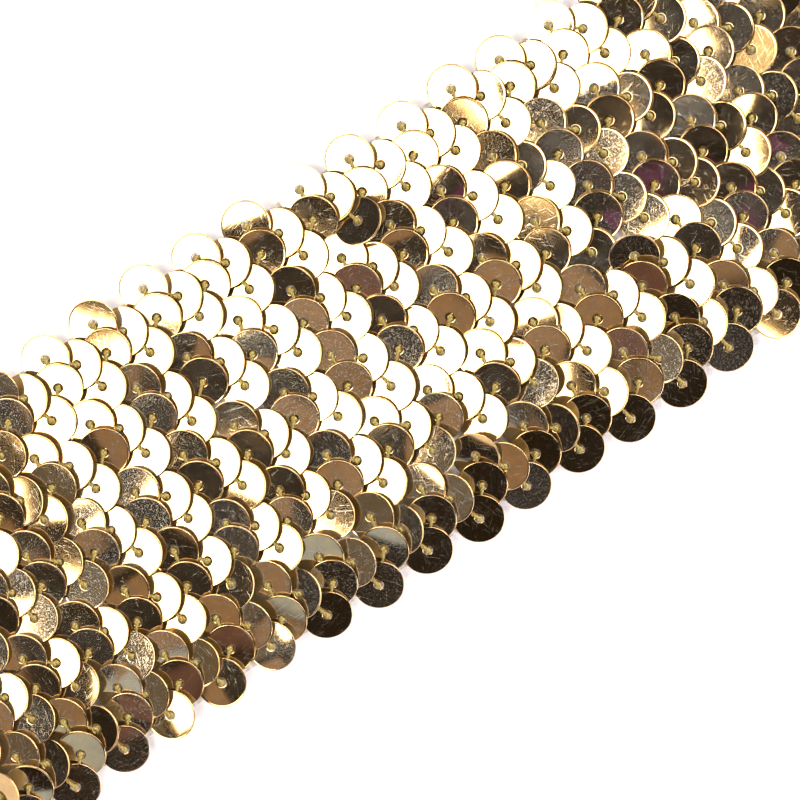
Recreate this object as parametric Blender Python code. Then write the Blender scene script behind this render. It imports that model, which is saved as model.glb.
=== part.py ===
"""A cut length of sequin trim, five sequin chains wide, lying flat.

Round foil sequins are sewn edge over edge in five zigzag chains, side by side on a
cloth backing tape. Each chain is one solid: a bed whose top is its tilted, lapping
round faces, cut to the scallops that show where the next chain laps it.
The numbers are millimetres, and each mesh is scaled to metres when it is made.
Frame: +X along the trim, +Y across it, +Z up, origin under the middle.
"""
import math

import bmesh
import bpy
from mathutils import Matrix, Vector

MM = 0.001

# the sequins and how they lie
DISC_R = 3.0            # a sequin is 6 mm across
DISC_SIDES = 12         # sides of its round face in these solids
PERIOD = 7.1            # along the trim, one zigzag of four sequins
PERIODS = 20            # zigzags in the cut length
ROWS = 5
ROW_PITCH = 9.2         # across the trim, one chain to the next
FACE_Z = 2.3            # height of every face at its middle
TILT = 0.17             # slope of a face, downhill towards its stitch

# one zigzag: the middle of each sequin, from the low turn's,
# and the direction in which its stitch pulls it down, in degrees
ZIGZAG = [
    # name, x, y, downhill
    ("low_turn", 0.0, 0.0, 104.0),
    ("climb", -1.04, 3.86, 135.0),
    ("high_turn", -3.65, 6.5, 240.0),
    ("fall", -4.24, 2.8, 225.0),
]
HIGH_TURN = Vector(ZIGZAG[2][1:3])
FIRST_ROW_Y = ((ROWS - 1) * ROW_PITCH - HIGH_TURN.y) / 2    # the trim is centred on y = 0

# the solids
BACKING_SIZE = (149.0, 44.0, 1.0)
GAP = 0.3               # between one solid and the next
BED_Z = BACKING_SIZE[2] + GAP
BED_FOOT = 1.0          # how far the beds reach below BED_Z before they are cut
CUT_Z = FACE_Z + TILT * DISC_R + 1.0    # the cutters end above every face
CUT_MARGIN = 6.0        # and past the trim all round

# the borders between chains, made of arcs round the turns that show there
ARC_STEP = 30.0         # at most this many degrees to one straight of an arc
EDGE_R = DISC_R - 0.05  # round a chain's own turns, just inside their faces
CLEAR_R = (EDGE_R + GAP) / math.cos(math.radians(ARC_STEP / 2))    # round the next chain's turns


def clear_scene():
    for obj in list(bpy.data.objects):
        bpy.data.objects.remove(obj, do_unlink=True)


def make_material(name, colour, metallic, roughness):
    mat = bpy.data.materials.new(name)
    mat.use_nodes = True
    shader = mat.node_tree.nodes["Principled BSDF"]
    shader.inputs["Base Color"].default_value = (*colour, 1.0)
    shader.inputs["Metallic"].default_value = metallic
    shader.inputs["Roughness"].default_value = roughness
    mat.diffuse_color = (*colour, 1.0)
    return mat


def mesh_object(name, bm, collection, mat):
    """An object in metres from a bmesh in millimetres."""
    bm.transform(Matrix.Scale(MM, 4))
    mesh = bpy.data.meshes.new(name)
    bm.to_mesh(mesh)
    bm.free()
    mesh.materials.append(mat)
    obj = bpy.data.objects.new(name, mesh)
    collection.objects.link(obj)
    return obj


def backing(collection, mat):
    """The tape: a plain sheet, a little longer than the chains, hidden behind their scallops."""
    bm = bmesh.new()
    size = Vector(BACKING_SIZE)
    centre = Vector((0.0, 0.0, size.z / 2))
    bmesh.ops.create_cube(bm, size=1.0, matrix=Matrix.LocRotScale(centre, None, size))
    return mesh_object("backing", bm, collection, mat)


def low_turn(row, k):
    """Middle of the low turn that starts zigzag k of a chain, counted from +X."""
    return Vector(((PERIODS / 2 - k) * PERIOD, FIRST_ROW_Y - row * ROW_PITCH))


def add_sequin(bm, centre, downhill):
    """A prism from under the bed up to a round face that slopes down towards its stitch."""
    foot = BED_Z - BED_FOOT
    place = Matrix.Translation((*centre, (foot + FACE_Z) / 2)) @ Matrix.Rotation(math.pi / DISC_SIDES, 4, "Z")
    corner_r = DISC_R / math.cos(math.pi / DISC_SIDES)
    prism = bmesh.ops.create_cone(
        bm, cap_ends=True, segments=DISC_SIDES, radius1=corner_r, radius2=corner_r,
        depth=FACE_Z - foot, matrix=place)
    down = Vector((math.cos(downhill), math.sin(downhill)))
    for vert in prism["verts"]:
        if vert.co.z > BED_Z:
            vert.co.z -= TILT * (vert.co.xy - centre).dot(down)


def chain_bed(row, collection, mat):
    """All the sequins of one chain, from +X to -X, ending on a low turn."""
    bm = bmesh.new()
    for k in range(PERIODS + 1):
        sequins = ZIGZAG if k < PERIODS else ZIGZAG[:1]
        for _, x, y, downhill in sequins:
            add_sequin(bm, low_turn(row, k) + Vector((x, y)), math.radians(downhill))
    return mesh_object(f"sequin_row_{row + 1}", bm, collection, mat)


def arc(centre, r, start, end):
    """Points of an arc from start to end, in degrees, turning whichever way that is."""
    steps = math.ceil(abs(end - start) / ARC_STEP)
    angles = [math.radians(start + (end - start) * i / steps) for i in range(steps + 1)]
    return [centre + r * Vector((math.cos(a), math.sin(a))) for a in angles]


def crossing(low_r, high, high_r):
    """Where the arc round a low turn at the origin meets the arc round a high turn.

    Of the two such points it is the one to the left of the way from low to high.
    Returns its angle as seen from the low turn and from the high turn.
    """
    apart = high.length
    along = (apart ** 2 + low_r ** 2 - high_r ** 2) / (2 * apart)
    aside = math.sqrt(low_r ** 2 - along ** 2)
    way = high.normalized()
    point = way * along + way.orthogonal() * aside
    from_high = point - high
    return math.degrees(math.atan2(point.y, point.x)), math.degrees(math.atan2(from_high.y, from_high.x))


def border(row, low_r, high_r):
    """The scalloped line between a chain and the next one down, from +X to -X.

    It follows each low turn's lower edge and then goes round the high turn of the
    next chain, which laps over the low turn on its right and under the one on its left.
    """
    left = HIGH_TURN - Vector((0.0, ROW_PITCH))
    right = left + Vector((PERIOD, 0.0))
    enter_low, leave_high = crossing(low_r, right, high_r)
    leave_low, enter_high = crossing(low_r, left, high_r)
    line = []
    for k in range(PERIODS + 1):
        centre = low_turn(row, k)
        start = enter_low if k > 0 else 0.0
        end = leave_low if k < PERIODS else -180.0
        line += arc(centre, low_r, start, end)
        if k < PERIODS:
            line += arc(centre + left, high_r, enter_high, leave_high)[1:-1]
    far = BACKING_SIZE[0] / 2 + CUT_MARGIN
    return [Vector((far, line[0].y)), *line, Vector((-far, line[-1].y))]


def chain_region(row, collection):
    """Cutter for one chain: all that lies between the borders above and below it."""
    far_x, far_y = BACKING_SIZE[0] / 2 + CUT_MARGIN, BACKING_SIZE[1] / 2 + CUT_MARGIN
    upper = [Vector((far_x, far_y)), Vector((-far_x, far_y))]
    lower = [Vector((far_x, -far_y)), Vector((-far_x, -far_y))]
    if row > 0:
        upper = border(row - 1, CLEAR_R, EDGE_R)
    if row < ROWS - 1:
        lower = border(row, EDGE_R, CLEAR_R)
    outline = upper + lower[::-1]

    name = f"region_{row + 1}"
    curve = bpy.data.curves.new(name, "CURVE")
    curve.dimensions = "2D"
    curve.fill_mode = "BOTH"
    curve.extrude = (CUT_Z - BED_Z) / 2 * MM
    spline = curve.splines.new("POLY")
    spline.points.add(len(outline) - 1)
    spline.use_cyclic_u = True
    for point, place in zip(spline.points, outline):
        point.co = (place.x * MM, place.y * MM, 0.0, 1.0)
    drawn = bpy.data.objects.new(name + "_outline", curve)
    drawn.location.z = (CUT_Z + BED_Z) / 2 * MM
    collection.objects.link(drawn)
    return mesh_cutter(name, drawn, collection)


def mesh_cutter(name, drawn, collection):
    """The closed mesh of an extruded outline, which takes the outline's place."""
    bpy.context.view_layer.update()
    evaluated = drawn.evaluated_get(bpy.context.evaluated_depsgraph_get())
    mesh = bpy.data.meshes.new_from_object(evaluated)
    bm = bmesh.new()
    bm.from_mesh(mesh)
    bmesh.ops.remove_doubles(bm, verts=bm.verts, dist=0.001 * MM)
    bm.to_mesh(mesh)
    bm.free()
    cutter = bpy.data.objects.new(name, mesh)
    collection.objects.link(cutter)
    cutter.matrix_world = drawn.matrix_world
    cutter.hide_render = True
    cutter.display_type = "WIRE"
    bpy.data.objects.remove(drawn, do_unlink=True)
    return cutter


def main():
    clear_scene()
    parts = bpy.data.collections.new("sequin_trim")
    cutters = bpy.data.collections.new("cutters")
    for collection in (parts, cutters):
        bpy.context.scene.collection.children.link(collection)

    cloth = make_material("backing_cloth", (0.86, 0.80, 0.80), 0.0, 0.85)
    foil = make_material("gold_foil", (0.76, 0.50, 0.20), 1.0, 0.15)
    backing(parts, cloth)
    for row in range(ROWS):
        bed = chain_bed(row, parts, foil)
        cut = bed.modifiers.new("border", "BOOLEAN")
        cut.operation = "INTERSECT"
        cut.solver = "EXACT"
        cut.use_self = True
        cut.object = chain_region(row, cutters)


main()
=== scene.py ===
# %% [markdown]
# # Sequin trim
# A stretch trim of round foil sequins. Each chain of sequins is sewn in a zigzag, and
# five chains lie side by side on a knitted tape. The sequins lap each other like roof
# tiles, so every one leans a little, and the leaning is what makes the trim sparkle:
# each sequin is a small flat mirror that shows another part of the room.
#
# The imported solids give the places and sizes. This script lays a real sequin in each
# of those places, lets them settle on each other, sews them on and lights them.

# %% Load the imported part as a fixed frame
import math

import bpy
import numpy as np
from mathutils import Matrix, Vector


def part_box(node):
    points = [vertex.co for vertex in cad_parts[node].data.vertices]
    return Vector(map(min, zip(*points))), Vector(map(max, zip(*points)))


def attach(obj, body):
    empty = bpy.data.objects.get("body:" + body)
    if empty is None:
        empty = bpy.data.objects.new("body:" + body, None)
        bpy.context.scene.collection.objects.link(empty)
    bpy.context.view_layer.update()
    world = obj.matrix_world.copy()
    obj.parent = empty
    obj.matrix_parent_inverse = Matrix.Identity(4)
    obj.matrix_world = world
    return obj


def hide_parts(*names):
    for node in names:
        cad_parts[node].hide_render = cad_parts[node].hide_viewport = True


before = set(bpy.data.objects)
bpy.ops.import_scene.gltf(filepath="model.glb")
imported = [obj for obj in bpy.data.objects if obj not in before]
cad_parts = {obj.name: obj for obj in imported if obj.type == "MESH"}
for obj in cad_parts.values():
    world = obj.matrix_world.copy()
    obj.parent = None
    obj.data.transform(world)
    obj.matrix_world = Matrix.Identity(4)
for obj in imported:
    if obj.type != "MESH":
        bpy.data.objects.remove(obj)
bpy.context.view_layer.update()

# %% [markdown]
# ## Sizes
# The work is done in millimetres and turned into metres when a mesh is made. The pitch
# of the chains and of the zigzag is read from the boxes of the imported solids, so that
# the sequins stay on them whatever their numbers are.

# %% Read the pitches from the solids
MM = 0.001
DISC_R = 3.0
HOLE_R = 0.55
ROWS = 5
PERIODS = 20            # zigzags in a chain
ROW_NODES = [f"sequin_row_{row + 1}" for row in range(ROWS)]

# one zigzag: the middles of its four sequins, from the first of them
LOW_TURN, CLIMB, HIGH_TURN, FALL = range(4)
ZIGZAG = np.array([(0.0, 0.0), (-1.04, 3.86), (-3.65, 6.5), (-4.24, 2.8)])

row_boxes = [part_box(name) for name in ROW_NODES]
ROW_PITCH = (row_boxes[0][0].y - row_boxes[1][0].y) / MM
PERIOD = ((row_boxes[0][1].x - row_boxes[0][0].x) / MM - 2 * DISC_R) / PERIODS
FIRST_ROW_Y = row_boxes[0][1].y / MM - DISC_R - ZIGZAG[HIGH_TURN, 1]

tape_low, tape_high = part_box("backing")
TAPE_LENGTH = (tape_high.x - tape_low.x) / MM
TAPE_WIDTH = (tape_high.y - tape_low.y) / MM
TAPE_TOP = tape_high.z / MM
print(f"chain pitch {ROW_PITCH:.2f} mm, zigzag {PERIOD:.2f} mm, first chain at y = {FIRST_ROW_Y:.2f} mm")
print(f"tape {TAPE_LENGTH:.1f} x {TAPE_WIDTH:.1f} mm, top at {TAPE_TOP:.2f} mm")

# %% [markdown]
# ## Camera
# The trim is seen from straight above and lies aslant in the frame. The camera looks
# down and is turned about its own axis, which is simpler than turning the trim: the
# part has to stay in the frame that its solids are in.

# %% Camera
VIEW_WIDTH = 94.1       # of the trim's plane that the square picture shows
CAMERA_HEIGHT = 330.0
SLANT = math.radians(33.5)    # the trim runs up to the right at this angle
CAMERA_OFFSET = Vector((0.0, -5.3))    # the picture's middle, from the trim's

camera_data = bpy.data.cameras.new("camera")
camera_data.angle = 2 * math.atan(VIEW_WIDTH / 2 / CAMERA_HEIGHT)
camera_data.clip_start = 0.01
camera = bpy.data.objects.new("camera", camera_data)
camera.location = Vector((*CAMERA_OFFSET, CAMERA_HEIGHT)) * MM
camera.rotation_euler = (0.0, 0.0, -SLANT)
bpy.context.scene.collection.objects.link(camera)
bpy.context.scene.camera = camera
print(f"lens {camera_data.lens:.0f} mm, {CAMERA_HEIGHT:.0f} mm above the trim")

# %% [markdown]
# ## Where each sequin is sewn
# A machine zigzags as it sews, but the tape gives, so no two sequins are quite where
# the pattern says. Small seeded random shifts do that here. There is a quick change
# from one sequin to the next, and a slow one along each chain.

# %% Places of the sequins
SEED = 11
SHIFT = 0.19            # of one sequin
WANDER = 0.22           # of a whole stretch of chain
rng = np.random.default_rng(SEED)


def slow_noise(along, waves, size):
    """A smooth random line, made of a few sines whose lengths fit a chain."""
    total = np.zeros_like(along)
    for length in waves:
        total += rng.normal() * np.sin(2 * math.pi * (along / length + rng.random()))
    return size * total / math.sqrt(len(waves))


def sewing_pattern():
    """Middle, chain and zigzag step of every sequin, in the order they are sewn."""
    middles, rows, kinds = [], [], []
    for row in range(ROWS):
        for k in range(PERIODS + 1):
            steps = range(4) if k < PERIODS else [LOW_TURN]
            for kind in steps:
                start = np.array([(PERIODS / 2 - k) * PERIOD, FIRST_ROW_Y - row * ROW_PITCH])
                middles.append(start + ZIGZAG[kind])
                rows.append(row)
                kinds.append(kind)
    return np.array(middles), np.array(rows), np.array(kinds)


middles, rows, kinds = sewing_pattern()
COUNT = len(middles)
order = np.arange(COUNT)
for row in range(ROWS):
    chain = rows == row
    middles[chain, 0] += slow_noise(middles[chain, 0], (31.0, 47.0, 90.0), WANDER)
    middles[chain, 1] += slow_noise(middles[chain, 0], (23.0, 38.0, 70.0), WANDER)
middles += np.clip(rng.normal(0.0, SHIFT, middles.shape), -2 * SHIFT, 2 * SHIFT)
print(COUNT, "sequins in", ROWS, "chains")

# %% [markdown]
# ## Which sequin lies on which
# Within a chain each new sequin is sewn over the edge of the one before. Between
# chains the lower chain lies on the upper one, except that a low turn pushes out over
# what lies to its left. A few pairs have slipped past each other, as on any real trim.

# %% Pairs of sequins that touch
SLIPPED = 0.03          # share of the shallow laps that lie the other way up
SHALLOW_LAP = 1.45 * DISC_R    # two sequins at least this far apart lap shallowly


def upper_first(a, b):
    """Whether sequin a of the higher chain lies over sequin b of the next chain."""
    if kinds[a] != LOW_TURN:
        return False
    return kinds[b] != HIGH_TURN or middles[b, 0] > middles[a, 0]


def lapping_pairs():
    """Index of the under and of the over sequin of each pair that overlaps."""
    apart = np.linalg.norm(middles[:, None] - middles[None], axis=2)
    under, over = [], []
    for a, b in zip(*np.nonzero(np.triu(apart < 2 * DISC_R - 0.05, 1))):
        same_chain = rows[a] == rows[b]
        a_on_top = not same_chain and upper_first(a, b)
        if rng.random() < SLIPPED and not same_chain and apart[a, b] > SHALLOW_LAP:
            a_on_top = not a_on_top
        under.append(b if a_on_top else a)
        over.append(a if a_on_top else b)
    return np.array(under), np.array(over)


under, over = lapping_pairs()
print(len(under), "pairs lap")

# %% [markdown]
# ## Let them settle
# How each sequin leans follows from what it lies on. A rigid-body simulation of 405
# thin discs in contact tends to jump about. It is steadier to move each disc's plane
# alone: its height and its two slopes. Every step pulls the planes down, and then
# pushes apart each place where an upper sequin, or the thread between two, would be
# inside a lower one. This is the position-based method that cloth solvers use.

# %% Contact points
FILM = 0.12             # thickness of a sequin
CLEARANCE = 0.07        # for sequins that are a little bent
THREAD_ROOM = (0.25, 0.60)    # squashed thread between a sequin and the next
RIM_POINTS = 24

rim_angles = np.arange(RIM_POINTS) * 2 * math.pi / RIM_POINTS
rim = np.stack([np.cos(rim_angles), np.sin(rim_angles)], axis=1)


def contact_points():
    """Points where one plane must stay over another: under, over, place and gap."""
    lows, highs, places, gaps = [], [], [], []
    for low, high in zip(under, over):
        for own, other in ((low, high), (high, low)):
            points = middles[own] + DISC_R * rim
            inside = np.linalg.norm(points - middles[other], axis=1) < DISC_R
            places.extend(points[inside])
            gaps.extend([FILM + CLEARANCE] * inside.sum())
        way = middles[high] - middles[low]
        apart = np.linalg.norm(way)
        if high == low + 1:
            run = np.linspace(max(apart - DISC_R, HOLE_R), 0.98 * DISC_R, 4)
            places.extend(middles[low] + run[:, None] * way / apart)
            gaps.extend([FILM + CLEARANCE + rng.uniform(*THREAD_ROOM)] * len(run))
        lows.extend([low] * (len(places) - len(lows)))
        highs.extend([high] * (len(places) - len(highs)))
    return np.array(lows), np.array(highs), np.array(places), np.array(gaps)


lows, highs, contact_places, gaps = contact_points()
print(len(gaps), "contact points")

# %% Pull the planes down and push them apart
SETTLE_STEPS = 700
UNEVEN_PULL = 0.6       # how much the pull of one stitch differs from the next
LAST_CHAIN_DROOP = np.array([7.0, 2.0, 0.5, 1.0])    # of its four sequins, to its free edge
LEAN_WEIGHT = 4.0       # how easily a sequin leans rather than lifts
STEEPEST = 0.62         # slope that the thread allows
FLOOR_GAP = 0.15


def leading_way():
    """Direction from each sequin to the next one sewn, which is the way its stitch pulls."""
    way = np.zeros((COUNT, 2))
    way[:-1] = middles[1:] - middles[:-1]
    ends = np.nonzero(np.diff(rows, append=ROWS))[0]
    way[ends] = way[ends - 4]
    way /= np.linalg.norm(way, axis=1, keepdims=True)
    way += np.clip(rng.normal(0.0, UNEVEN_PULL, way.shape), -1.5 * UNEVEN_PULL, 1.5 * UNEVEN_PULL)
    last = rows == ROWS - 1
    way[last, 1] -= LAST_CHAIN_DROOP[kinds[last]]
    return way


def settle():
    """Height and the two slopes, times the radius, of every sequin's top plane."""
    way = leading_way()
    plane = np.zeros((COUNT, 3))
    plane[:, 0] = TAPE_TOP + 0.6
    low_u = (contact_places - middles[lows]) / DISC_R
    high_u = (contact_places - middles[highs]) / DISC_R
    weights = 2 + LEAN_WEIGHT * ((low_u ** 2).sum(1) + (high_u ** 2).sum(1))
    rim_places = middles[:, None] + DISC_R * rim
    on_tape = np.abs(rim_places[..., 1]) < TAPE_WIDTH / 2
    ground = np.where(on_tape, TAPE_TOP + FILM + 0.03, FILM + FLOOR_GAP)
    each = np.arange(COUNT)
    for step in range(SETTLE_STEPS):
        pull = 0.02 * (1 - step / SETTLE_STEPS) ** 2
        plane[:, 0] -= pull
        plane[:, 1:] -= 1.5 * pull * way
        for _ in range(3):
            low_z = plane[lows, 0] + (plane[lows, 1:] * low_u).sum(1)
            high_z = plane[highs, 0] + (plane[highs, 1:] * high_u).sum(1)
            push = np.maximum(gaps - (high_z - low_z), 0.0) / weights
            moved = np.zeros_like(plane)
            touched = np.zeros(COUNT)
            for disc, u, sign in ((lows, low_u, -1.0), (highs, high_u, 1.0)):
                moved[:, 0] += sign * np.bincount(disc, push, COUNT)
                for axis in (0, 1):
                    moved[:, axis + 1] += sign * LEAN_WEIGHT * np.bincount(disc, push * u[:, axis], COUNT)
                touched += np.bincount(disc, push > 0, COUNT)
            plane += moved * (1.6 / np.maximum(touched, 1.6))[:, None]
            rim_over = plane[:, :1] + plane[:, 1:] @ rim.T - ground
            lowest = rim_over.argmin(1)
            lift = np.maximum(-rim_over[each, lowest], 0.0) / (1 + LEAN_WEIGHT)
            plane[:, 0] += lift
            plane[:, 1:] += LEAN_WEIGHT * lift[:, None] * rim[lowest]
            steep = np.linalg.norm(plane[:, 1:], axis=1, keepdims=True) / (STEEPEST * DISC_R)
            plane[:, 1:] /= np.maximum(steep, 1.0)
    left = gaps - ((plane[highs, 0] + (plane[highs, 1:] * high_u).sum(1))
                   - (plane[lows, 0] + (plane[lows, 1:] * low_u).sum(1)))
    return plane, left.max()


plane, worst = settle()
slopes = plane[:, 1:] / DISC_R
heights = plane[:, 0]
tilts = np.degrees(np.arctan(np.linalg.norm(slopes, axis=1)))
print(f"worst overlap left {worst:.4f} mm, tilts {tilts.min():.1f} to {tilts.max():.1f} degrees")
for kind, name in enumerate(("low turns", "climbs", "high turns", "falls")):
    print(f"  {name}: tilt {tilts[kinds == kind].mean():.1f}, height {heights[kinds == kind].mean():.2f}")

# %% [markdown]
# ## Axes of each sequin
# A plane's slope gives its normal. Two more axes in the plane make a frame into which
# any small shape can be placed with one array product for all the sequins at once.

# %% Axes
normals = np.column_stack([-slopes, np.ones(COUNT)])
normals /= np.linalg.norm(normals, axis=1, keepdims=True)
side_u = np.column_stack([np.ones(COUNT), np.zeros(COUNT), slopes[:, 0]])
side_u /= np.linalg.norm(side_u, axis=1, keepdims=True)
side_v = np.cross(normals, side_u)
axes = np.stack([side_u, side_v, normals], axis=1)
centres = np.column_stack([middles, heights])
print("normals lean", np.degrees(np.arccos(normals[:, 2])).mean().round(1), "degrees on average")

# %% [markdown]
# ## One sequin
# A sequin is punched from metallised film, and the punch rolls its edge over slightly.
# It could be a thin cylinder, but then its edge would have no gloss line. A profile
# turned about the middle gives the hole, the flat face and the rolled rim. Two rings
# close together on either side of a bend keep the smooth shading of the face flat.

# %% The profile and its mesh
SEGMENTS = 48
PROFILE = np.array([
    # from the middle, above the face
    (HOLE_R, -0.75 * FILM),
    (HOLE_R, -0.25 * FILM),
    (HOLE_R + 0.035, 0.0),
    (HOLE_R + 0.10, 0.0),
    (0.50 * DISC_R, 0.0),
    (0.76 * DISC_R, 0.0),
    (DISC_R - 0.22, 0.0),
    (DISC_R - 0.17, 0.0),
    (DISC_R - 0.10, 0.024),
    (DISC_R - 0.04, 0.014),
    (DISC_R, -0.35 * FILM),
    (DISC_R - 0.02, -0.9 * FILM),
    (DISC_R - 0.10, -FILM),
    (HOLE_R + 0.05, -FILM),
])


def turned(profile, segments):
    """Vertices and quads of a closed profile turned about the Z axis."""
    angles = np.arange(segments) * 2 * math.pi / segments
    r, z = profile[:, 0], profile[:, 1]
    verts = np.stack([
        np.cos(angles)[:, None] * r,
        np.sin(angles)[:, None] * r,
        np.broadcast_to(z, (segments, len(r))),
    ], axis=2).reshape(-1, 3)
    i, j = np.meshgrid(np.arange(segments), np.arange(len(r)), indexing="ij")
    i2, j2 = (i + 1) % segments, (j + 1) % len(r)
    corners = [i * len(r) + j, i2 * len(r) + j, i2 * len(r) + j2, i * len(r) + j2]
    return verts, np.stack(corners, axis=2).reshape(-1, 4)


disc_verts, disc_quads = turned(PROFILE, SEGMENTS)
print(f"one sequin: {len(disc_verts)} vertices, {2 * len(disc_quads)} triangles")

# %% [markdown]
# ## All the sequins
# Film is never quite flat: each sequin is bent a little along some line and cupped a
# little. That is far too small to see as a shape, but it shows at once in what the
# sequin mirrors, since a slope of one degree moves a reflection by two.
#
# Each chain becomes one joined mesh. Two attributes go with it for the material: where
# on the sheet of film each sequin was punched, and how worn that sequin is.

# %% A bent copy of the sequin in every place
BEND = 0.055            # rise of the edge of a bent sequin
BEND_MOST = 0.11
CUP = 0.030

bend_angles = rng.uniform(0.0, math.pi, COUNT)
bends = np.clip(rng.normal(0.0, BEND, COUNT), -BEND_MOST, BEND_MOST)
cups = rng.normal(0.0, CUP, COUNT)
film_angles = rng.uniform(0.0, 2 * math.pi, COUNT)
wear = rng.random(COUNT)


def mesh_object(name, verts, quads, attributes):
    """A smooth mesh object in metres, with one named value for each vertex."""
    mesh = bpy.data.meshes.new(name)
    mesh.from_pydata((verts * MM).tolist(), [], quads.tolist())
    mesh.polygons.foreach_set("use_smooth", np.ones(len(quads), dtype=bool))
    for attribute, values in attributes.items():
        vector = values.ndim == 2
        layer = mesh.attributes.new(attribute, "FLOAT_VECTOR" if vector else "FLOAT", "POINT")
        layer.data.foreach_set("vector" if vector else "value", values.astype(np.float32).ravel())
    obj = bpy.data.objects.new(name, mesh)
    bpy.context.scene.collection.objects.link(obj)
    return obj


def sequins_of(which):
    """Joined vertices, quads and attributes of the chosen sequins."""
    local = np.broadcast_to(disc_verts, (len(which), *disc_verts.shape)).copy()
    x, y = local[..., 0] / DISC_R, local[..., 1] / DISC_R
    across = x * np.cos(bend_angles[which])[:, None] + y * np.sin(bend_angles[which])[:, None]
    local[..., 2] += bends[which][:, None] * across ** 2 + cups[which][:, None] * (x ** 2 + y ** 2)
    verts = centres[which][:, None] + np.einsum("nvk,nkj->nvj", local, axes[which])

    cos, sin = np.cos(film_angles[which])[:, None], np.sin(film_angles[which])[:, None]
    film = np.stack([
        local[..., 0] * cos - local[..., 1] * sin,
        local[..., 0] * sin + local[..., 1] * cos,
        np.broadcast_to(7.3 * which[:, None], local.shape[:2]),
    ], axis=2)
    worn = np.broadcast_to(wear[which][:, None], local.shape[:2])
    back = np.broadcast_to(disc_verts[:, 2] < -0.8 * FILM, local.shape[:2]).astype(float)
    quads = disc_quads + len(disc_verts) * np.arange(len(which))[:, None, None]
    attributes = {"film": film.reshape(-1, 3), "wear": worn.reshape(-1), "back": back.reshape(-1)}
    return verts.reshape(-1, 3), quads.reshape(-1, 4), attributes


sequin_pieces = []
for row in range(ROWS):
    verts, quads, attributes = sequins_of(np.nonzero(rows == row)[0])
    piece = mesh_object(f"sequins_{row + 1}", verts, quads, attributes)
    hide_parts(ROW_NODES[row])
    sequin_pieces.append(piece)
print(len(sequin_pieces), "chains,", 2 * len(quads), "triangles in each")

# %% [markdown]
# ## Sewing thread
# One thread runs through each chain. It comes up through a sequin's hole, over the
# edge of the hole, along the face, under the next sequin and down into the tape. It
# could be a curve with a round bevel, but two strands twisted together are plain to
# see up close, so both strands are swept as tubes round the thread's own path.

# %% Path of the thread
STRAND_R = 0.125
STRAND_OFFSET = 0.115   # of a strand from the middle of the thread
TWIST = 0.95            # length of one turn
TUBE_SIDES = 6
STITCH = np.array([
    # mm along the face from the hole's middle, height over the face, flatness, fullness
    (-0.04, -0.62, 1.0, 1.6),
    (-0.03, -0.34, 1.0, 2.1),
    (-0.02, -0.10, 1.0, 2.15),
    (0.05, 0.10, 1.0, 1.85),
    (0.20, 0.23, 1.0, 1.4),
    (0.38, 0.28, 1.0, 1.15),
    (0.56, 0.29, 1.0, 1.0),
    (0.74, 0.28, 1.0, 1.0),
    (0.92, 0.26, 0.95, 1.0),
    (1.10, 0.23, 0.9, 1.0),
    (1.30, 0.20, 0.8, 1.0),
    (1.60, 0.18, 0.7, 1.0),
    (2.00, 0.17, 0.65, 1.0),
    (2.40, 0.17, 0.65, 1.0),
    (2.80, 0.17, 0.7, 1.0),
    (3.06, 0.10, 0.8, 1.0),
])
DIP = 0.12              # of the thread's middle over the tape, between two sequins


def thread_path(which):
    """Middle line, side direction, flatness and fullness of the thread through a chain."""
    points, sides, flats, fulls = [], [], [], []
    for disc in which[:-1]:
        way = middles[disc + 1] - middles[disc]
        apart = np.linalg.norm(way)
        way = way / apart
        side = np.array([-way[1], way[0], 0.0])
        slope = slopes[disc] @ way
        for along, over_face, flat, full in STITCH:
            place = middles[disc] + along * way
            points.append([*place, heights[disc] + slope * along + over_face])
            sides.append(side)
            flats.append(flat)
            fulls.append(full)
        for share, z in ((0.35, TAPE_TOP + DIP), (0.85, TAPE_TOP + DIP)):
            along = STITCH[-1, 0] + share * (apart - STITCH[-1, 0])
            place = middles[disc] + along * way
            points.append([*place, z])
            sides.append(side)
            flats.append(1.0)
            fulls.append(1.0)
    return np.array(points), np.array(sides), np.array(flats), np.array(fulls)


def tube(path, side, radii, sides):
    """Vertices and quads of a tube along a path, with a radius at each point."""
    tangent = np.gradient(path, axis=0)
    tangent /= np.linalg.norm(tangent, axis=1, keepdims=True)
    first = side - tangent * (side * tangent).sum(1, keepdims=True)
    first /= np.linalg.norm(first, axis=1, keepdims=True)
    second = np.cross(tangent, first)
    angles = np.arange(sides) * 2 * math.pi / sides
    ring = np.cos(angles)[:, None] * first[:, None] + np.sin(angles)[:, None] * second[:, None]
    verts = (path[:, None] + radii[:, None, None] * ring).reshape(-1, 3)
    i, j = np.meshgrid(np.arange(len(path) - 1), np.arange(sides), indexing="ij")
    j2 = (j + 1) % sides
    corners = [i * sides + j, (i + 1) * sides + j, (i + 1) * sides + j2, i * sides + j2]
    quads = np.stack(corners, axis=2).reshape(-1, 4)
    caps = np.array([[0, 1, 2, 3], [0, 3, 4, 5]])
    last = (len(path) - 1) * sides
    return verts, np.concatenate([quads, caps[:, ::-1], caps + last])


def smooth_line(values, times):
    """A line of values redrawn with each piece cut in shorter, evenly spaced steps."""
    old = np.arange(len(values))
    new = np.linspace(0, len(values) - 1, (len(values) - 1) * times + 1)
    if values.ndim == 1:
        return np.interp(new, old, values)
    return np.stack([np.interp(new, old, column) for column in values.T], axis=1)


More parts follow.
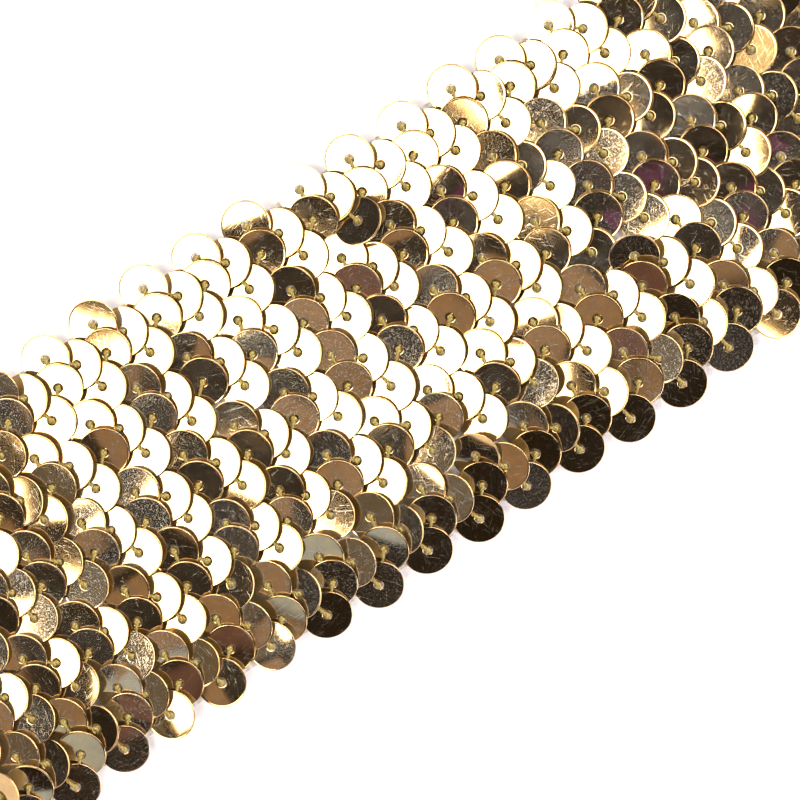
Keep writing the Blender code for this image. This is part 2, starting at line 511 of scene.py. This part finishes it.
def thread_of(which):
    """Both strands of one chain's thread, with how far along and around each vertex is."""
    path, side, flat, full = thread_path(which)
    lengths = np.linalg.norm(np.diff(path, axis=0), axis=1)
    along = np.concatenate([[0.0], np.cumsum(lengths)])
    tangent = np.gradient(path, axis=0)
    tangent /= np.linalg.norm(tangent, axis=1, keepdims=True)
    up = np.cross(tangent, side)
    all_verts, all_quads, runs = [], [], []
    for strand in (0, 1):
        phase = 2 * math.pi * along / TWIST + strand * math.pi
        centre = (path + STRAND_OFFSET * (full * np.cos(phase))[:, None] * side
                  + STRAND_OFFSET * (full * flat * np.sin(phase))[:, None] * up)
        verts, quads = tube(centre, side, STRAND_R * full * np.sqrt(flat), TUBE_SIDES)
        all_quads.append(quads + sum(len(v) for v in all_verts))
        all_verts.append(verts)
        around = np.tile(np.arange(TUBE_SIDES) / TUBE_SIDES, len(path))
        runs.append(np.column_stack([
            np.repeat(along, TUBE_SIDES),
            np.cos(2 * math.pi * around),
            np.sin(2 * math.pi * around),
        ]))
    return np.concatenate(all_verts), np.concatenate(all_quads), {"run": np.concatenate(runs)}


# %% Sweep the five threads
thread_pieces = []
for row in range(ROWS):
    verts, quads, attributes = thread_of(np.nonzero(rows == row)[0])
    thread_pieces.append(mesh_object(f"thread_{row + 1}", verts, quads, attributes))
print(len(thread_pieces), "threads,", 2 * len(quads), "triangles in each,",
      f"{attributes['run'][:, 0].max() / 1000:.2f} m long")

# %% [markdown]
# ## Backing tape
# A narrow knitted tape carries the chains. Its stitching draws it up into low ripples.
# A subdivided plane with a Solidify modifier would do. Here the grid is written out as
# two layers, so that the sides stay closed.

# %% The rippled sheet
TAPE_STEP = 1.0
TAPE_THICK = 0.75
RIPPLE = 0.12


def grid_sheet(length, width, step, surface):
    """A closed sheet: an upper and a lower grid, joined round their edges."""
    nx, ny = round(length / step) + 1, round(width / step) + 1
    xs, ys = np.linspace(-length / 2, length / 2, nx), np.linspace(-width / 2, width / 2, ny)
    x, y = np.meshgrid(xs, ys, indexing="ij")
    low, high = surface(x, y)
    verts = np.concatenate([np.stack([x, y, z], axis=2).reshape(-1, 3) for z in (high, low)])
    index = np.arange(nx * ny).reshape(nx, ny)
    top = np.stack([index[:-1, :-1], index[1:, :-1], index[1:, 1:], index[:-1, 1:]], axis=2).reshape(-1, 4)
    edge = np.concatenate([index[:, 0], index[-1, 1:], index[-2::-1, -1], index[0, -2:0:-1]])
    after = np.roll(edge, -1)
    sides = np.stack([edge, edge + nx * ny, after + nx * ny, after], axis=1)
    return verts, np.concatenate([top, top[:, ::-1] + nx * ny, sides])


def tape_surface(x, y):
    """Lower and upper height of the tape: low ripples across it, drawn up at each chain."""
    ripple = RIPPLE * (0.5 + 0.5 * np.sin(2 * math.pi * x / PERIOD) * np.cos(2 * math.pi * y / ROW_PITCH))
    low = ripple
    return low, np.minimum(low + TAPE_THICK, TAPE_TOP)


verts, quads = grid_sheet(TAPE_LENGTH, TAPE_WIDTH, TAPE_STEP, tape_surface)
tape = mesh_object("tape", verts, quads, {})
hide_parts("backing")
print(f"tape: {2 * len(quads)} triangles, {verts[:, 2].min():.2f} to {verts[:, 2].max():.2f} mm high")

# %% [markdown]
# ## Shader expressions
# A material is a network of nodes. Written one node and one link at a time it is hard
# to read, so a small class wraps a node's output and turns +, -, * and / into Math
# nodes. Any other node comes from one method.

# %% The two helper classes


class Value:
    """The output of a node. Arithmetic on it adds Math nodes."""

    def __init__(self, shader, socket):
        self.shader = shader
        self.socket = socket

    def math(self, operation, first, second):
        return self.shader.node("Math", {"operation": operation}, {0: first, 1: second})

    def __add__(self, other):
        return self.math("ADD", self, other)

    def __radd__(self, other):
        return self.math("ADD", other, self)

    def __sub__(self, other):
        return self.math("SUBTRACT", self, other)

    def __rsub__(self, other):
        return self.math("SUBTRACT", other, self)

    def __mul__(self, other):
        return self.math("MULTIPLY", self, other)

    def __rmul__(self, other):
        return self.math("MULTIPLY", other, self)

    def __truediv__(self, other):
        return self.math("DIVIDE", self, other)

    def __pow__(self, other):
        return self.math("POWER", self, other)


class Shader:
    """A new material with a Principled BSDF, and ways to add nodes to it."""

    def __init__(self, name):
        self.material = bpy.data.materials.new(name)
        self.material.use_nodes = True
        self.tree = self.material.node_tree
        self.surface = self.tree.nodes["Principled BSDF"]

    def node(self, kind, settings, inputs, output=0):
        """A node of any type: its settings first, then the values or links of its sockets."""
        made = self.tree.nodes.new("ShaderNode" + kind)
        for name, value in settings.items():
            setattr(made, name, value)
        self.fill(made, inputs)
        return Value(self, made.outputs[output])

    def fill(self, node, inputs):
        for name, value in inputs.items():
            if isinstance(value, Value):
                self.tree.links.new(value.socket, node.inputs[name])
            else:
                node.inputs[name].default_value = value

    def attribute(self, name, output):
        return self.node("Attribute", {"attribute_name": name}, {}, output)

    def stretched(self, vector, factors):
        return self.node("VectorMath", {"operation": "MULTIPLY"}, {0: vector, 1: factors})

    def turned(self, vector, angle):
        return self.node("VectorRotate", {"rotation_type": "Z_AXIS"}, {"Vector": vector, "Angle": angle})

    def noise(self, vector, scale, detail=2.0):
        return self.node("TexNoise", {}, {"Vector": vector, "Scale": scale, "Detail": detail})

    def between(self, value, low, high):
        """0 below low, 1 above high, and a smooth rise from one to the other."""
        settings = {"interpolation_type": "SMOOTHSTEP"}
        return self.node("MapRange", settings, {"Value": value, "From Min": low, "From Max": high})

    def mix(self, factor, first, second):
        return self.node("Mix", {"data_type": "RGBA"}, {0: factor, 6: first, 7: second}, 2)

    def bump(self, height, strength, distance):
        inputs = {"Height": height, "Strength": strength, "Distance": distance}
        return self.node("Bump", {}, inputs)

    def finish(self, **inputs):
        """Sets the Principled sockets, whose names are written here with _ for a space."""
        self.fill(self.surface, {name.replace("_", " "): value for name, value in inputs.items()})
        return self.material


print("shader helpers ready")

# %% [markdown]
# ## Gold foil
# The film is plastic with a thin layer of metal under a clear lacquer. The metal is a
# coloured mirror, so Metallic is 1 and the colour tints everything it shows. The
# lacquer is a coat, and it carries the scratches: the coat scatters white light, which
# is why a worn sequin looks pale and greyish while a fresh one looks deep brown.
#
# Scratches are noise drawn out into long thin lines, in two directions. They follow
# the film attribute, so that each sequin has its own directions.

# %% Foil material
foil = Shader("gold_foil")
film = foil.attribute("film", "Vector")
worn = foil.attribute("wear", "Fac")

back = foil.attribute("back", "Fac")

brushed = foil.noise(foil.stretched(film, (0.5, 9.0, 1.0)), 1.0, 2.0)
crossed = foil.noise(foil.stretched(foil.turned(film, 1.1), (0.6, 11.0, 1.0)), 1.0, 2.0)
grain = foil.noise(film, 5.0, 3.0)
cloudy = foil.noise(film, 0.45, 2.0)

scratches = foil.between(brushed, 0.65, 0.70) + foil.between(crossed, 0.66, 0.71)
specks = foil.between(grain, 0.47, 0.67)
scuffed = foil.between(worn + 0.8 * cloudy, 0.60, 1.35)
marks = foil.between(0.15 * specks + 0.45 * scuffed * specks + 0.7 * scratches, 0.0, 1.0)

GOLD = (0.80, 0.50, 0.21, 1.0)
GOLD_DEEP = (0.68, 0.44, 0.20, 1.0)
SCRATCHED = (0.80, 0.72, 0.58, 1.0)
BACK_COLOUR = (0.36, 0.40, 0.36, 1.0)
face_colour = foil.mix(foil.between(cloudy, 0.35, 0.65), GOLD, GOLD_DEEP)
face_colour = foil.mix(marks, face_colour, SCRATCHED)
foil_roughness = 0.05 + 0.02 * grain + 0.08 * marks + 0.35 * back
foil_coat = 0.03 + (0.08 + 0.8 * scuffed) * (0.22 + 0.78 * specks) + 0.4 * scratches
foil_height = 0.5 * grain * scuffed + 0.15 * scratches
foil_material = foil.finish(
    Base_Color=foil.mix(back, face_colour, BACK_COLOUR),
    Metallic=(1.0 - 0.15 * marks) * (1.0 - 0.6 * back),
    Roughness=foil_roughness,
    Coat_Weight=foil_coat,
    Coat_Roughness=0.31,
    Coat_IOR=2.1,
    Normal=foil.bump(foil_height, 0.1, 0.02 * MM),
)
print("foil nodes:", len(foil.tree.nodes))

# %% [markdown]
# ## Sewing thread and tape
# The thread is glossy yarn: a satin surface with fine fibres that run round each
# strand. Its colour goes from near black to bright gold along the fibre streaks: partly
# the yarn's own tone, partly painted highlight and painted shade. The tape is a fine
# knit, whose rows of loops are two crossed waves, in tones of painted golden shade that
# are darker and warmer than the pale tape itself.

# %% Thread material
thread = Shader("gold_thread")
run = thread.attribute("run", "Vector")
# the fibre streaks also set the colour, near black to bright gold: painted highlight and painted shade over
# the yarn's own tone
fibres_and_painted_light = thread.noise(thread.stretched(run, (1.6, 7.0, 7.0)), 1.0, 2.0)
thread_material = thread.finish(
    Base_Color=thread.mix(fibres_and_painted_light, (0.07, 0.045, 0.004, 1.0), (0.60, 0.44, 0.10, 1.0)),
    Metallic=0.0,
    Roughness=0.16 + 0.20 * fibres_and_painted_light,
    Coat_Weight=0.4 + 0.4 * fibres_and_painted_light,
    Coat_Roughness=0.15,
    Normal=thread.bump(fibres_and_painted_light, 0.5, 0.03 * MM),
)

# %% Tape material
knit = Shader("tape_knit")
place = knit.node("TexCoord", {}, {}, "Object")
ribs = knit.node("TexWave", {"bands_direction": "X"}, {"Vector": place, "Scale": 320.0, "Distortion": 0.6})
loops = knit.node("TexWave", {"bands_direction": "Y"}, {"Vector": place, "Scale": 460.0, "Distortion": 0.8})
fuzz = knit.noise(place, 2500.0, 3.0)
relief = ribs * 0.6 + loops * 0.4 + fuzz * 0.3
# the knit pattern is the tape's own, but both tones are darker and warmer than the pale tape: painted
# golden shade, as bounced from the sequins into the gaps; the dark tone lies in the knit's hollows, as
# painted shade
tape_material = knit.finish(
    Base_Color=knit.mix(relief, (0.64, 0.54, 0.49, 1.0), (0.89, 0.81, 0.77, 1.0)),
    Roughness=0.75 + 0.2 * fuzz,
    Normal=knit.bump(relief, 0.7, 0.15 * MM),
)

# %% Give each piece its finish
for piece in sequin_pieces:
    piece.data.materials.append(foil_material)
for piece in thread_pieces:
    piece.data.materials.append(thread_material)
tape.data.materials.append(tape_material)
for piece in [*sequin_pieces, *thread_pieces, tape]:
    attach(piece, "root")
print("pieces dressed:", len(sequin_pieces) + len(thread_pieces) + 1)

# %% [markdown]
# ## Light
# A mirror is lit by what it reflects, so the lights are placed as a photographer of
# jewellery places them: by what each sequin should see. Two soft panels stand to the
# left, and the sequins that lean that way are filled with white. The others show the
# dim room and a few grey cards, as bronze. A third panel far to the right is seen by
# no sequin's face: it lights the ground, the thread and the sequins' rolled rims.
#
# Places are given as in the picture, from its middle: x to the right and y up. All the
# panels hang at about the camera's height, and a radiance of 1 is just white.

# %% Panels
PANEL_HEIGHT = 300.0


def panel(name, middle, size, turn, radiance, colour=(1.0, 1.0, 1.0)):
    """A flat light that faces down. The camera doesn't see it, but the sequins do."""
    light = bpy.data.lights.new(name, "AREA")
    light.shape = "RECTANGLE"
    light.size, light.size_y = size[0] * MM, size[1] * MM
    light.color = colour
    light.energy = radiance * math.pi * light.size * light.size_y
    place = CAMERA_OFFSET + Matrix.Rotation(-SLANT, 2) @ Vector(middle)
    obj = bpy.data.objects.new(name, light)
    obj.location = Vector((*place, PANEL_HEIGHT)) * MM
    obj.rotation_euler = (0.0, 0.0, math.radians(turn) - SLANT)
    obj.visible_camera = False
    bpy.context.scene.collection.objects.link(obj)
    return obj


panel("left_panel", (-223.0, 5.0), (210.0, 180.0), 0.0, 9.0, (1.0, 0.93, 0.77))
panel("low_left_panel", (-119.0, -84.0), (206.0, 76.0), 33.0, 9.0, (1.0, 0.93, 0.77))
panel("fill_panel", (380.0, 320.0), (400.0, 700.0), 40.0, 8.0)
panel("low_fill_panel", (430.0, -400.0), (300.0, 300.0), 45.0, 9.0)
panel("grey_card_1", (-228.0, -276.0), (110.0, 90.0), 28.0, 0.33, (1.0, 0.77, 0.62))
panel("grey_card_2", (-75.0, -190.0), (70.0, 62.0), -14.0, 0.33, (1.0, 0.77, 0.62))
panel("dim_card", (-300.0, -185.0), (170.0, 120.0), 30.0, 0.11, (1.0, 0.94, 0.90))
panel("pale_card", (-230.0, -370.0), (190.0, 90.0), 10.0, 1.0, (0.50, 0.68, 1.0))
panel("red_card", (-16.0, -128.0), (36.0, 28.0), 31.0, 0.22, (0.50, 0.09, 0.80))
panel("plum_card", (-90.0, -262.0), (90.0, 60.0), 0.0, 0.20, (0.80, 0.48, 0.56))
world = bpy.data.worlds.new("room")
world.use_nodes = True
world.node_tree.nodes["Background"].inputs["Color"].default_value = (0.022, 0.018, 0.013, 1.0)
bpy.context.scene.world = world
bpy.context.scene.view_settings.view_transform = "Standard"

# %% [markdown]
# ## Floor
# The floor is a wide pale cloth that turns up at its rim, so that a low camera also has
# a pale ground behind the trim. It also glows, which is painted light: faintly in the
# middle, where it lightens the trim's shadow, and more at the rim. The panels don't reach
# that far, so the rim glows a little by itself.

# %% Floor
FLOOR_R = 1200.0
FLOOR_RISE = 500.0


def floor_profile():
    """Radius and height of the floor from its middle to its raised rim."""
    bend = np.linspace(0.0, math.pi / 2, 10)
    flat = FLOOR_R - FLOOR_RISE
    points = [(0.0, 0.0)]
    points += [(flat + FLOOR_RISE * math.sin(a), FLOOR_RISE * (1 - math.cos(a))) for a in bend]
    return np.array(points)


def open_turned(profile, segments):
    """Like turned, for a profile that is open and starts in the middle."""
    verts, _ = turned(profile, segments)
    count = len(profile)
    i, j = np.meshgrid(np.arange(segments), np.arange(count - 1), indexing="ij")
    i2 = (i + 1) % segments
    corners = [i * count + j, i * count + j + 1, i2 * count + j + 1, i2 * count + j]
    return verts, np.stack(corners, axis=2).reshape(-1, 4)


verts, quads = open_turned(floor_profile(), 96)
floor = mesh_object("floor", verts, quads, {})
ground = Shader("pale_ground")
ground_place = ground.node("TexCoord", {}, {}, "Object")
weave = ground.node("TexWave", {"bands_direction": "DIAGONAL"},
                    {"Vector": ground_place, "Scale": 1500.0, "Distortion": 1.5, "Detail": 2.0})
radius = ground.node("VectorMath", {"operation": "LENGTH"}, {0: ground_place}, 1)
painted_glow = ground.between(radius, 0.35, 0.80)
floor.data.materials.append(ground.finish(
    Base_Color=ground.mix(weave, (0.87, 0.83, 0.86, 1.0), (0.90, 0.87, 0.89, 1.0)),
    Roughness=0.9,
    Normal=ground.bump(weave, 0.05, 0.05 * MM),
    # painted light: the cloth glows, faintly in the middle to lighten the trim's shadow and more towards
    # the rim
    Emission_Color=ground.mix(painted_glow, (0.27, 0.25, 0.255, 1.0), (0.70, 0.69, 0.70, 1.0)),
    Emission_Strength=1.0,
))
print("floor:", 2 * len(quads), "triangles")
